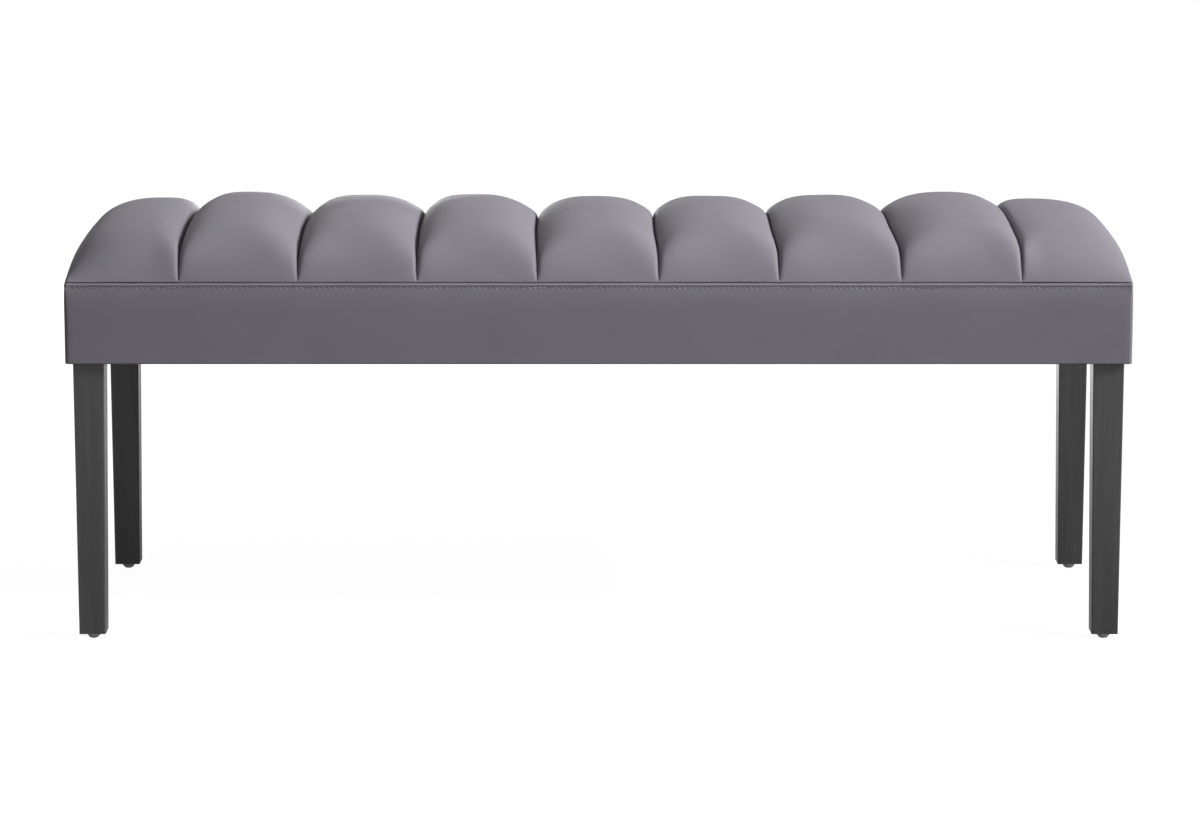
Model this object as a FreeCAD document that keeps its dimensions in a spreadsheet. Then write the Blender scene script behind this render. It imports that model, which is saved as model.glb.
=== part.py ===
import FreeCAD
import Part
import math
import os
import Sketcher
from FreeCAD import Rotation, Vector

# Upholstered dining bench: a doweled timber frame with a plywood seat board, foam and nine channel
# pads under a sewn cover, on four tapered legs. Millimetres, +Z up, +X along the bench, +Y to its back,
# with the origin on the floor under the middle of the bench.

doc = FreeCAD.newDocument("dining_bench")

SIZES = (
    ("bench_length", "1200"),
    ("bench_depth", "400"),
    ("seam_height", "414"),
    ("band_height", "93"),
    ("crest_rise", "62"),
    ("valley_rise", "37"),
    ("end_crest_drop", "2"),
    ("end_channel_width", "125"),
    ("end_round_length", "76"),
    ("cover_thickness", "1.5"),
    ("pad_clearance", "0.3"),
    ("wadding_thickness", "4"),
    ("band_corner_radius", "4.5"),
    ("turn_under_width", "26"),
    ("rail_height", "60"),
    ("rail_thickness", "20"),
    ("post_width", "45"),
    ("board_thickness", "12"),
    ("cross_rail_height", "45"),
    ("cross_rail_thickness", "20"),
    ("cross_rail_spacing", "400"),
    ("dowel_diameter", "8"),
    ("dowel_length", "40"),
    ("dowel_spacing", "30"),
    ("dowel_end_gap", "0.5"),
    ("fit_clearance", "0.1"),
    ("screw_diameter", "4"),
    ("screw_head_diameter", "8"),
    ("screw_head_height", "2.5"),
    ("screw_tip_length", "6"),
    ("board_screw_length", "40"),
    ("cross_screw_length", "60"),
    ("leg_inset", "8"),
    ("leg_top_width", "35"),
    ("leg_foot_width", "30"),
    ("leg_bevel", "1.2"),
    ("bolt_diameter", "8"),
    ("bolt_leg_depth", "45"),
    ("bolt_post_depth", "30"),
    ("bolt_end_bevel", "1"),
    ("bolt_end_gap", "1"),
    ("insert_diameter", "12"),
    ("insert_length", "22"),
    ("glide_height", "7"),
    ("glide_diameter", "16"),
    ("glide_flat_diameter", "8"),
    ("glide_dome_radius", "8"),
    ("glide_floor", "3"),
    ("nail_diameter", "2.5"),
    ("nail_length", "20"),
    ("nail_tip_length", "4"),
    ("dust_cover_thickness", "0.5"),
    ("dust_cover_margin", "10"),
    ("leg_notch_clearance", "2"),
    ("staple_width", "10"),
    ("staple_length", "8"),
    ("staple_wire", "0.9"),
    ("cut_overrun", "5"),
)

CHANNEL_COUNT = 9
CROWN_POWER = 2.4
PUFF_POWER = 2.2
SECTION_ARCS = 5
PUFF_STEP_SHARES = (0, 0.17, 0.34, 0.5, 0.66, 0.83, 1)
END_STEP_SHARES = (0.08, 0.24, 0.45, 0.7, 1)
CROSS_SCREW_SHARES = (0.27, 0.73)
LONG_STAPLE_SHARES = (-0.9, -0.6, -0.3, 0, 0.3, 0.6, 0.9)
END_STAPLE_SHARES = (-0.5, 0.5)

dims = doc.addObject("Spreadsheet::Sheet", "dims")
for row, (alias, value) in enumerate(SIZES, start=1):
    dims.set(f"A{row}", alias)
    dims.set(f"B{row}", value)
    dims.setAlias(f"B{row}", alias)
doc.recompute()

HALF_LENGTH = "(dims.bench_length / 2)"
HALF_DEPTH = "(dims.bench_depth / 2)"
BAND_BOTTOM = "(dims.seam_height - dims.band_height)"
FRAME_INSET = "(dims.cover_thickness + dims.wadding_thickness)"
FRAME_BOTTOM = f"({BAND_BOTTOM} + dims.cover_thickness)"
FRAME_TOP = f"({FRAME_BOTTOM} + dims.rail_height)"
BOARD_TOP = f"({FRAME_TOP} + dims.board_thickness)"
FRAME_HALF_LENGTH = f"({HALF_LENGTH} - {FRAME_INSET})"
FRAME_HALF_DEPTH = f"({HALF_DEPTH} - {FRAME_INSET})"
RAIL_HALF_LENGTH = f"({FRAME_HALF_LENGTH} - dims.post_width)"
RAIL_HALF_DEPTH = f"({FRAME_HALF_DEPTH} - dims.post_width)"
LONG_RAIL_LINE = f"({FRAME_HALF_DEPTH} - dims.rail_thickness / 2)"
END_RAIL_LINE = f"({FRAME_HALF_LENGTH} - dims.rail_thickness / 2)"
CROSS_RAIL_LINE = "(dims.cross_rail_spacing / 2)"
LEG_LINE_X = f"({HALF_LENGTH} - dims.leg_inset - dims.leg_top_width / 2)"
LEG_LINE_Y = f"({HALF_DEPTH} - dims.leg_inset - dims.leg_top_width / 2)"
FOOT_LINE_X = f"({HALF_LENGTH} - dims.leg_inset - dims.leg_foot_width / 2)"
FOOT_LINE_Y = f"({HALF_DEPTH} - dims.leg_inset - dims.leg_foot_width / 2)"
BORE_GAP = "dims.fit_clearance"

CORNERS = (
    ("front_left", -1, -1),
    ("front_right", 1, -1),
    ("back_left", -1, 1),
    ("back_right", 1, 1),
)
ALONG_X = Rotation(Vector(0, 1, 0), 90)
ALONG_Y = Rotation(Vector(1, 0, 0), -90)
TOWARD_FRONT = Rotation(Vector(1, 0, 0), 90)
UPWARD = Rotation()
DOWNWARD = Rotation(Vector(1, 0, 0), 180)
QUARTER_TURN = Rotation(Vector(0, 0, 1), 90)

sub_parts = []


def size(alias):
    """The number in a cell of the sheet."""
    return float(dims.get(alias))


def worth(expression):
    """The number that an expression over the sheet gives."""
    return float(dims.evalExpression(str(expression)))


def place(item, base, turn=UPWARD):
    """Turn an object and bind the three coordinates of its base point."""
    item.Placement.Rotation = turn
    for axis, expression in zip("xyz", base):
        item.setExpression(f"Placement.Base.{axis}", str(expression))


def keep(item, label):
    """Make an object a sub-part under its own label."""
    item.Label = label
    sub_parts.append(item)
    return item


def box(name, low, spans):
    """A block from its lowest corner and its three spans."""
    block = doc.addObject("Part::Box", name)
    for side, expression in zip(("Length", "Width", "Height"), spans):
        block.setExpression(side, expression)
    place(block, low)
    return block


def rod(name, base, turn, radius, length):
    """A round bar that starts at its base point and runs along the turned axis."""
    bar = doc.addObject("Part::Cylinder", name)
    bar.setExpression("Radius", radius)
    bar.setExpression("Height", length)
    place(bar, base, turn)
    return bar


def cut(name, base, tool):
    """A base with a tool, or a group of tools, taken out of it."""
    result = doc.addObject("Part::Cut", name)
    result.Base = base
    result.Tool = tool
    return result


def common(name, base, tool):
    """What two solids share."""
    result = doc.addObject("Part::Common", name)
    result.Base = base
    result.Tool = tool
    return result


def group(name, items):
    """Several separate solids in one object."""
    result = doc.addObject("Part::Compound", name)
    result.Links = items
    return result


def copies(name, master, places):
    """The master repeated at each place, a base point and a turn."""
    links = []
    for index, (base, turn) in enumerate(places, start=1):
        link = doc.addObject("App::Link", f"{name}_{index}")
        link.LinkedObject = master
        place(link, base, turn)
        links.append(link)
    return group(name, links)


def outline(body, name, role, points, height="0", arcs=None):
    """A closed sketch through the points, on an origin plane lifted by height.

    The side that starts at point i is an arc of radius arcs[i] where one is given, swelling outwards."""
    sketch = body.newObject("Sketcher::SketchObject", name)
    plane = next(feature for feature in body.Origin.OriginFeatures if feature.Role == role)
    sketch.AttachmentSupport = [(plane, "")]
    sketch.MapMode = "FlatFace"
    sketch.setExpression("AttachmentOffset.Base.z", height)
    corners = [Vector(worth(across), worth(up), 0) for across, up in points]
    count = len(corners)
    for index, start in enumerate(corners):
        end = corners[(index + 1) % count]
        side = Part.LineSegment(start, end)
        if arcs and index in arcs:
            chord = end - start
            radius = worth(arcs[index])
            sag = radius - math.sqrt(radius ** 2 - (chord.Length / 2) ** 2)
            outwards = Vector(chord.y, -chord.x, 0).normalize()
            side = Part.Arc(start, (start + end) / 2 + outwards * sag, end)
        sketch.addGeometry(side, False)
    for index in range(count):
        sketch.addConstraint(Sketcher.Constraint("Coincident", index, 2, (index + 1) % count, 1))
    for index, (across, up) in enumerate(points):
        for kind, expression in (("DistanceX", across), ("DistanceY", up)):
            rule = sketch.addConstraint(Sketcher.Constraint(kind, -1, 1, index, 1, worth(expression)))
            sketch.setExpression(f"Constraints[{rule}]", str(expression))
    for index, radius in (arcs or {}).items():
        rule = sketch.addConstraint(Sketcher.Constraint("Radius", index, worth(radius)))
        sketch.setExpression(f"Constraints[{rule}]", radius)
    return sketch


def prism(name, points, low, height):
    """A plan outline raised from low by height."""
    body = doc.addObject("PartDesign::Body", name)
    sketch = outline(body, f"{name}_outline", "XY_Plane", points, low)
    pad = body.newObject("PartDesign::Pad", f"{name}_pad")
    pad.Profile = sketch
    pad.setExpression("Length", height)
    return body


def turned(name, points, arcs=None):
    """A profile of radius and height, turned about the upright axis."""
    body = doc.addObject("PartDesign::Body", name)
    sketch = outline(body, f"{name}_profile", "XZ_Plane", points, arcs=arcs)
    spin = body.newObject("PartDesign::Revolution", f"{name}_turn")
    spin.Profile = sketch
    spin.ReferenceAxis = (sketch, ["V_Axis"])
    spin.Angle = 360
    return body


def plan_block(name, inset, low, height, corner_radius):
    """A block of the bench's plan, drawn in by inset, with its four upright edges rounded."""
    half_length = f"({HALF_LENGTH} - {inset})"
    half_depth = f"({HALF_DEPTH} - {inset})"
    points = [
        (f"-{half_length}", f"-{half_depth}"),
        (half_length, f"-{half_depth}"),
        (half_length, half_depth),
        (f"-{half_length}", half_depth),
    ]
    body = prism(name, points, low, height)
    doc.recompute()
    pad = body.Tip
    upright = []
    for index, edge in enumerate(pad.Shape.Edges, start=1):
        along = edge.tangentAt(edge.FirstParameter)
        if abs(along.z) > max(abs(along.x), abs(along.y)):
            upright.append(f"Edge{index}")
    rounding = body.newObject("PartDesign::Fillet", f"{name}_rounding")
    rounding.Base = (pad, upright)
    rounding.setExpression("Radius", corner_radius)
    return body


def screw_places():
    """Base points of the screws through the seat board: heads at its top, points in the rails."""
    between_rail_and_post = f"({CROSS_RAIL_LINE} + {RAIL_HALF_LENGTH}) / 2"
    spots = []
    for side in (-1, 1):
        spots.append(("0", f"{side} * {LONG_RAIL_LINE}"))
        for end in (-1, 1):
            spots.append((f"{end} * {between_rail_and_post}", f"{side} * {LONG_RAIL_LINE}"))
        spots.append((f"{side} * {END_RAIL_LINE}", "0"))
        spots.append((f"{side} * {CROSS_RAIL_LINE}", "0"))
    return [((across, deep, BOARD_TOP), DOWNWARD) for across, deep in spots]


def cross_screw_places():
    """Base points of the screws through the long rails into the cross rails."""
    spots = []
    for side in (-1, 1):
        for share in CROSS_SCREW_SHARES:
            height = f"({FRAME_TOP} - {share} * dims.cross_rail_height)"
            across = f"{side} * {CROSS_RAIL_LINE}"
            spots.append(((across, f"-{FRAME_HALF_DEPTH}", height), ALONG_Y))
            spots.append(((across, FRAME_HALF_DEPTH, height), TOWARD_FRONT))
    return spots


def countersunk(name, length, gap):
    """A countersunk screw, head at the base point, or with a gap the bore that it sits in."""
    shank = f"(dims.screw_diameter / 2 + {gap})"
    head = f"(dims.screw_head_diameter / 2 + {gap})"
    points = [
        ("0", "0"),
        (head, "0"),
        (shank, "dims.screw_head_height"),
        (shank, f"{length} - dims.screw_tip_length"),
        ("0", f"{length} + {gap}"),
    ]
    return turned(name, points)


def staple_places():
    """Middle of each staple's crown, under the rails, with its wire along the rail."""
    crown = f"({BAND_BOTTOM} - dims.dust_cover_thickness - dims.staple_wire)"
    spots = []
    for side in (-1, 1):
        for share in LONG_STAPLE_SHARES:
            spots.append(((f"{share} * {RAIL_HALF_LENGTH}", f"{side} * {LONG_RAIL_LINE}", crown), UPWARD))
        for share in END_STAPLE_SHARES:
            spots.append(((f"{side} * {END_RAIL_LINE}", f"{share} * {RAIL_HALF_DEPTH}", crown), QUARTER_TURN))
    return spots


def staple(name, gap):
    """A square-wire staple with its legs up, or with a gap the slots that its legs sit in."""
    wire = f"(dims.staple_wire + 2 * {gap})"
    legs = []
    for side in (-1, 1):
        centre = f"({side} * (dims.staple_width - dims.staple_wire) / 2)"
        low = (f"{centre} - {wire} / 2", f"-{wire} / 2", "0")
        legs.append(box(f"{name}_leg_{len(legs) + 1}", low, (wire, wire, f"dims.staple_length + {gap}")))
    crown = box(
        f"{name}_crown",
        (f"-(dims.staple_width / 2 + {gap})", f"-{wire} / 2", "0"),
        (f"dims.staple_width + 2 * {gap}", wire, "dims.staple_wire"),
    )
    result = doc.addObject("Part::MultiFuse", name)
    result.Shapes = [crown] + legs
    return result


# Bores and slots that the fasteners sit in, shared by every piece that they pass through.
dowel_places = []
for corner, side_x, side_y in CORNERS:
    for lift in (-1, 1):
        height = f"({FRAME_BOTTOM} + dims.rail_height / 2 + {lift} * dims.dowel_spacing / 2)"
        dowel_places.append(((f"{side_x} * {RAIL_HALF_LENGTH}", f"{side_y} * {LONG_RAIL_LINE}", height), ALONG_X))
        dowel_places.append(((f"{side_x} * {END_RAIL_LINE}", f"{side_y} * {RAIL_HALF_DEPTH}", height), ALONG_Y))


def dowel(name, gap, end_gap):
    """A dowel about its middle, or with gaps the bore that it is glued into."""
    radius = f"dims.dowel_diameter / 2 + {gap}"
    half = f"(dims.dowel_length / 2 + {end_gap})"
    return turned(name, [("0", f"-{half}"), (radius, f"-{half}"), (radius, half), ("0", half)])


dowel_bores = copies("dowel_bores", dowel("dowel_bore", BORE_GAP, "dims.dowel_end_gap"), dowel_places)
board_screw_bores = copies(
    "board_screw_bores", countersunk("board_screw_bore", "dims.board_screw_length", BORE_GAP), screw_places()
)
cross_screw_bores = copies(
    "cross_screw_bores", countersunk("cross_screw_bore", "dims.cross_screw_length", BORE_GAP), cross_screw_places()
)
staple_slots = copies("staple_slots", staple("staple_slot", BORE_GAP), staple_places())
bolt_bore_points = [
    ("0", f"-(dims.bolt_leg_depth + dims.bolt_end_gap)"),
    (f"dims.bolt_diameter / 2 + {BORE_GAP}", f"-(dims.bolt_leg_depth + dims.bolt_end_gap)"),
    (f"dims.bolt_diameter / 2 + {BORE_GAP}", "dims.bolt_post_depth + dims.bolt_end_gap"),
    ("0", "dims.bolt_post_depth + dims.bolt_end_gap"),
]
bolt_places = []
for corner, side_x, side_y in CORNERS:
    bolt_places.append(((f"{side_x} * {LEG_LINE_X}", f"{side_y} * {LEG_LINE_Y}", BAND_BOTTOM), UPWARD))
bolt_bores = copies("bolt_bores", turned("bolt_bore", bolt_bore_points), bolt_places)

# Corner posts: short square blocks that carry the rails and take a threaded insert for each leg.
insert_seats = []
for index, ((across, deep, low), turn) in enumerate(bolt_places, start=1):
    insert_seats.append(
        rod(
            f"insert_seat_{index}",
            (across, deep, f"{FRAME_BOTTOM} - dims.cut_overrun"),
            UPWARD,
            f"dims.insert_diameter / 2 + {BORE_GAP}",
            f"dims.insert_length + {BORE_GAP} + dims.cut_overrun",
        )
    )
for (corner, side_x, side_y), seat in zip(CORNERS, insert_seats):
    block = box(
        f"post_block_{corner}",
        (
            f"{side_x} * ({FRAME_HALF_LENGTH} - dims.post_width / 2) - dims.post_width / 2",
            f"{side_y} * ({FRAME_HALF_DEPTH} - dims.post_width / 2) - dims.post_width / 2",
            FRAME_BOTTOM,
        ),
        ("dims.post_width", "dims.post_width", "dims.rail_height"),
    )
    doweled = cut(f"post_doweled_{corner}", block, dowel_bores)
    bored = cut(f"post_bored_{corner}", doweled, bolt_bores)
    keep(cut(f"corner_post_{corner}", bored, seat), f"corner_post_{corner}")

# Long and end rails between the posts, doweled into them.
for label, side in (("front_rail", -1), ("back_rail", 1)):
    plank = box(
        f"{label}_plank",
        (f"-{RAIL_HALF_LENGTH}", f"{side} * {LONG_RAIL_LINE} - dims.rail_thickness / 2", FRAME_BOTTOM),
        (f"2 * {RAIL_HALF_LENGTH}", "dims.rail_thickness", "dims.rail_height"),
    )
    bores = group(f"{label}_bores", [dowel_bores, board_screw_bores, cross_screw_bores, staple_slots])
    keep(cut(label, plank, bores), label)
for label, side in (("left_rail", -1), ("right_rail", 1)):
    plank = box(
        f"{label}_plank",
        (f"{side} * {END_RAIL_LINE} - dims.rail_thickness / 2", f"-{RAIL_HALF_DEPTH}", FRAME_BOTTOM),
        ("dims.rail_thickness", f"2 * {RAIL_HALF_DEPTH}", "dims.rail_height"),
    )
    bores = group(f"{label}_bores", [dowel_bores, board_screw_bores, staple_slots])
    keep(cut(label, plank, bores), label)
keep(copies("rail_dowels", dowel("dowel", "0", "0"), dowel_places), "rail_dowels")

# Two cross rails from front to back, screwed through the long rails.
for label, side in (("cross_rail_left", -1), ("cross_rail_right", 1)):
    plank = box(
        f"{label}_plank",
        (
            f"{side} * {CROSS_RAIL_LINE} - dims.cross_rail_thickness / 2",
            f"-({FRAME_HALF_DEPTH} - dims.rail_thickness)",
            f"{FRAME_TOP} - dims.cross_rail_height",
        ),
        ("dims.cross_rail_thickness", f"2 * ({FRAME_HALF_DEPTH} - dims.rail_thickness)", "dims.cross_rail_height"),
    )
    bores = group(f"{label}_bores", [cross_screw_bores, board_screw_bores])
    keep(cut(label, plank, bores), label)
cross_screw = countersunk("cross_rail_screw", "dims.cross_screw_length", "0")
keep(copies("cross_rail_screws", cross_screw, cross_screw_places()), "cross_rail_screws")

# Plywood seat board on the rails, held by countersunk screws.
board = box(
    "seat_board_sheet",
    (f"-{FRAME_HALF_LENGTH}", f"-{FRAME_HALF_DEPTH}", FRAME_TOP),
    (f"2 * {FRAME_HALF_LENGTH}", f"2 * {FRAME_HALF_DEPTH}", "dims.board_thickness"),
)
keep(cut("seat_board", board, board_screw_bores), "seat_board")
board_screw = countersunk("seat_board_screw", "dims.board_screw_length", "0")
keep(copies("seat_board_screws", board_screw, screw_places()), "seat_board_screws")

# Flat foam sheet between the board and the channel pads.
keep(
    box(
        "base_foam",
        (f"-{FRAME_HALF_LENGTH}", f"-{FRAME_HALF_DEPTH}", BOARD_TOP),
        (f"2 * {FRAME_HALF_LENGTH}", f"2 * {FRAME_HALF_DEPTH}", f"dims.seam_height - {BOARD_TOP}"),
    ),
    "base_foam",
)

# The four sides of the plan, split at 45 degrees at the corners.
NEAR_LENGTH = f"({HALF_LENGTH} - {HALF_DEPTH})"
side_outlines = {
    "front": [
        (f"-({HALF_LENGTH})", f"-({HALF_DEPTH})"),
        (HALF_LENGTH, f"-({HALF_DEPTH})"),
        (NEAR_LENGTH, "0"),
        (f"-{NEAR_LENGTH}", "0"),
    ],
    "back": [
        (HALF_LENGTH, HALF_DEPTH),
        (f"-({HALF_LENGTH})", HALF_DEPTH),
        (f"-{NEAR_LENGTH}", "0"),
        (NEAR_LENGTH, "0"),
    ],
    "left": [
        (f"-({HALF_LENGTH})", HALF_DEPTH),
        (f"-({HALF_LENGTH})", f"-({HALF_DEPTH})"),
        (f"-{NEAR_LENGTH}", "0"),
    ],
    "right": [
        (HALF_LENGTH, f"-({HALF_DEPTH})"),
        (HALF_LENGTH, HALF_DEPTH),
        (NEAR_LENGTH, "0"),
    ],
}
side_wedges = {}
for side, points in side_outlines.items():
    side_wedges[side] = prism(f"{side}_wedge", points, BAND_BOTTOM, "dims.band_height")

# Side wadding: a soft layer round the frame, the board and the foam, under the side band.
INNER_CORNER = "dims.band_corner_radius - dims.cover_thickness"
wadding_outer = plan_block(
    "wadding_outer", "dims.cover_thickness", FRAME_BOTTOM, f"dims.seam_height - {FRAME_BOTTOM}", INNER_CORNER
)
frame_room = box(
    "frame_room",
    (f"-{FRAME_HALF_LENGTH}", f"-{FRAME_HALF_DEPTH}", f"{FRAME_BOTTOM} - dims.cut_overrun"),
    (
        f"2 * {FRAME_HALF_LENGTH}",
        f"2 * {FRAME_HALF_DEPTH}",
        f"dims.seam_height - {FRAME_BOTTOM} + 2 * dims.cut_overrun",
    ),
)
wadding_sleeve = cut("wadding_sleeve", wadding_outer, frame_room)
for side, wedge in side_wedges.items():
    keep(common(f"{side}_wadding", wadding_sleeve, wedge), f"{side}_wadding")

# Side band: upright cover panels sewn at the corners, turned under the frame and stapled there.
band_outer = plan_block("band_outer", "0", BAND_BOTTOM, "dims.band_height", "dims.band_corner_radius")
band_room = plan_block(
    "band_room",
    "dims.cover_thickness",
    FRAME_BOTTOM,
    f"dims.seam_height - {FRAME_BOTTOM} + dims.cut_overrun",
    INNER_CORNER,
)
underside_window = box(
    "underside_window",
    (
        f"-({HALF_LENGTH} - dims.turn_under_width)",
        f"-({HALF_DEPTH} - dims.turn_under_width)",
        f"{BAND_BOTTOM} - dims.cut_overrun",
    ),
    (
        "dims.bench_length - 2 * dims.turn_under_width",
        "dims.bench_depth - 2 * dims.turn_under_width",
        "dims.cover_thickness + 2 * dims.cut_overrun",
    ),
)
band_walls = cut("band_walls", band_outer, band_room)
band_turned_under = cut("band_turned_under", band_walls, underside_window)
band_bolted = cut("band_bolted", band_turned_under, bolt_bores)
band_sleeve = cut("band_sleeve", band_bolted, staple_slots)
for side, wedge in side_wedges.items():
    keep(common(f"{side}_band", band_sleeve, wedge), f"{side}_band")

# Channel pads and their cover strips. A cross section over the depth is a superellipse on the seam plane,
# and its rise swells along the bench from seam to seam, or from the rounded end of the bench.
seam_lines = [-size("bench_length") / 2]
middle_width = (size("bench_length") - 2 * size("end_channel_width")) / (CHANNEL_COUNT - 2)
for index in range(CHANNEL_COUNT - 1):
    seam_lines.append(seam_lines[0] + size("end_channel_width") + index * middle_width)
seam_lines.append(-seam_lines[0])


def swell(share, power):
    """Place from -1 to 1 and height from 0 to 1 on a superellipse, share of the way round its upper half."""
    angle = math.pi * share
    along = math.copysign(abs(math.cos(angle)) ** (2 / power), -math.cos(angle))
    return along, math.sin(angle) ** (2 / power)


def crown(across, rise, half_depth):
    """Points over the depth at one place along the bench, from the front of the seam plane to its back."""
    points = []
    for step in range(2 * SECTION_ARCS + 1):
        deep, high = swell(step / (2 * SECTION_ARCS), CROWN_POWER)
        points.append(Vector(across, deep * half_depth, size("seam_height") + high * rise))
    return points


def arched(points):
    """Arcs through the points, two at a time."""
    starts = range(0, len(points) - 1, 2)
    return [Part.Arc(points[start], points[start + 1], points[start + 2]).toShape() for start in starts]


def filled_section(across, rise, inset, sink=0):
    """Closed wire of a solid cross section: arcs over the top and a straight base, sunk below the seam plane."""
    points = crown(across, rise - inset, size("bench_depth") / 2 - inset)
    edges = arched(points)
    corners = [points[-1], points[0]]
    if sink:
        down = Vector(0, 0, -sink)
        corners = [points[-1], points[-1] + down, points[0] + down, points[0]]
    for start, end in zip(corners, corners[1:]):
        edges.append(Part.LineSegment(start, end).toShape())
    return Part.Wire(edges)


def cover_section(across, rise):
    """Closed wire of the cover's own thickness: arcs outside, arcs inside and the two cut edges."""
    thickness = size("cover_thickness")
    outer = crown(across, rise, size("bench_depth") / 2)
    inner = crown(across, rise - thickness, size("bench_depth") / 2 - thickness)
    inner.reverse()
    back_edge = Part.LineSegment(outer[-1], inner[0]).toShape()
    front_edge = Part.LineSegment(inner[-1], outer[0]).toShape()
    return Part.Wire(arched(outer) + [back_edge] + arched(inner) + [front_edge])


def stations(left, right):
    """Places along a channel and the cover's rise there, swelling between two sewn valleys."""
    middle = (left + right) / 2
    swing = (right - left) / 2
    puff = size("crest_rise") - size("valley_rise")
    result = []
    for share in PUFF_STEP_SHARES:
        along, high = swell(share, PUFF_POWER)
        result.append((middle + along * swing, size("valley_rise") + high * puff))
    return result


def end_stations(end_inset):
    """The same for the left end channel: up from the bench's end, drawn in by end_inset, then to the valley."""
    left, seam = seam_lines[:2]
    crest = size("crest_rise") - size("end_crest_drop")
    puff = crest - size("valley_rise")
    top = left + size("end_round_length")
    result = []
    for share in END_STEP_SHARES:
        along, high = swell(share / 2, CROWN_POWER)
        result.append((top + along * size("end_round_length"), crest * high))
    result[0] = (left + end_inset, result[0][1])
    for share in PUFF_STEP_SHARES:
        along, high = swell(share, PUFF_POWER)
        if along > 0:
            result.append((top + along * (seam - top), size("valley_rise") + high * puff))
    return result


def pad_solid(places):
    """The fill of a channel, a little inside its cover."""
    inset = size("cover_thickness") + size("pad_clearance")
    return Part.makeLoft([filled_section(across, rise, inset) for across, rise in places(inset)], True, False)


def cover_solid(places):
    """The cover strip of a channel between two valleys."""
    return Part.makeLoft([cover_section(across, rise) for across, rise in places(0)], True, False)


def end_cover_solid(places):
    """The cover strip of an end channel, which also closes the end of the bench."""
    thickness = size("cover_thickness")
    outer = Part.makeLoft([filled_section(across, rise, 0) for across, rise in places(0)], True, False)
    room_wires = []
    for across, rise in places(thickness):
        room_wires.append(filled_section(across, rise, thickness, size("cut_overrun")))
    return outer.cut(Part.makeLoft(room_wires, True, False))


def mirrored(shape):
    """The same shape at the other end of the bench."""
    return shape.mirror(Vector(0, 0, 0), Vector(1, 0, 0))


def formed(label, shape):
    """A sub-part whose shape is worked out here."""
    item = doc.addObject("Part::Feature", label)
    item.Shape = shape
    item.Placement = FreeCAD.Placement()
    return keep(item, label)


end_pad = pad_solid(end_stations)
end_cover = end_cover_solid(end_stations)
formed("channel_pad_1", end_pad)
formed("channel_cover_1", end_cover)
for index in range(1, CHANNEL_COUNT - 1):
    between_valleys = stations(seam_lines[index], seam_lines[index + 1])
    formed(f"channel_pad_{index + 1}", pad_solid(lambda inset: between_valleys))
    formed(f"channel_cover_{index + 1}", cover_solid(lambda inset: between_valleys))
formed(f"channel_pad_{CHANNEL_COUNT}", mirrored(end_pad))
formed(f"channel_cover_{CHANNEL_COUNT}", mirrored(end_cover))

# Legs: square hardwood, tapered on their two inner faces, with bevelled arrises and a bore for the bolt.


def leg_plan(side_x, side_y, width):
    """Bevelled square whose outer faces line up at the leg's inset from the bench's faces."""
    near = f"({HALF_LENGTH} - dims.leg_inset - {width})"
    far = f"({HALF_LENGTH} - dims.leg_inset)"
    inner = f"({HALF_DEPTH} - dims.leg_inset - {width})"
    outer = f"({HALF_DEPTH} - dims.leg_inset)"
    bevel = "dims.leg_bevel"
    points = [
        (f"{near} + {bevel}", inner),
        (f"{far} - {bevel}", inner),
        (far, f"{inner} + {bevel}"),
        (far, f"{outer} - {bevel}"),
        (f"{far} - {bevel}", outer),
        (f"{near} + {bevel}", outer),
        (near, f"{outer} - {bevel}"),
        (near, f"{inner} + {bevel}"),
    ]
    return [(f"{side_x} * ({across})", f"{side_y} * ({deep})") for across, deep in points]


nail_points = [
    ("0", "dims.glide_floor"),
    (f"dims.nail_diameter / 2", "dims.glide_floor"),
    (f"dims.nail_diameter / 2", "dims.glide_floor + dims.nail_length - dims.nail_tip_length"),
    ("0", "dims.glide_floor + dims.nail_length"),
]
nail_bore_points = [
    ("0", "dims.glide_floor"),
    (f"dims.nail_diameter / 2 + {BORE_GAP}", "dims.glide_floor"),
    (f"dims.nail_diameter / 2 + {BORE_GAP}", "dims.glide_floor + dims.nail_length - dims.nail_tip_length"),
    ("0", f"dims.glide_floor + dims.nail_length + {BORE_GAP}"),
]
foot_places = []
for corner, side_x, side_y in CORNERS:
    foot_places.append(((f"{side_x} * {FOOT_LINE_X}", f"{side_y} * {FOOT_LINE_Y}", "0"), UPWARD))
nail_bores = copies("nail_bores", turned("nail_bore", nail_bore_points), foot_places)
for corner, side_x, side_y in CORNERS:
    blank = doc.addObject("PartDesign::Body", f"leg_blank_{corner}")
    foot_plan = leg_plan(side_x, side_y, "dims.leg_foot_width")
    top_plan = leg_plan(side_x, side_y, "dims.leg_top_width")
    foot = outline(blank, f"leg_foot_{corner}", "XY_Plane", foot_plan, "dims.glide_height")
    top = outline(blank, f"leg_top_{corner}", "XY_Plane", top_plan, BAND_BOTTOM)
    taper = blank.newObject("PartDesign::AdditiveLoft", f"leg_taper_{corner}")
    taper.Profile = foot
    taper.Sections = [top]
    bored = cut(f"leg_bored_{corner}", blank, bolt_bores)
    keep(cut(f"leg_{corner}", bored, nail_bores), f"leg_{corner}")

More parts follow.
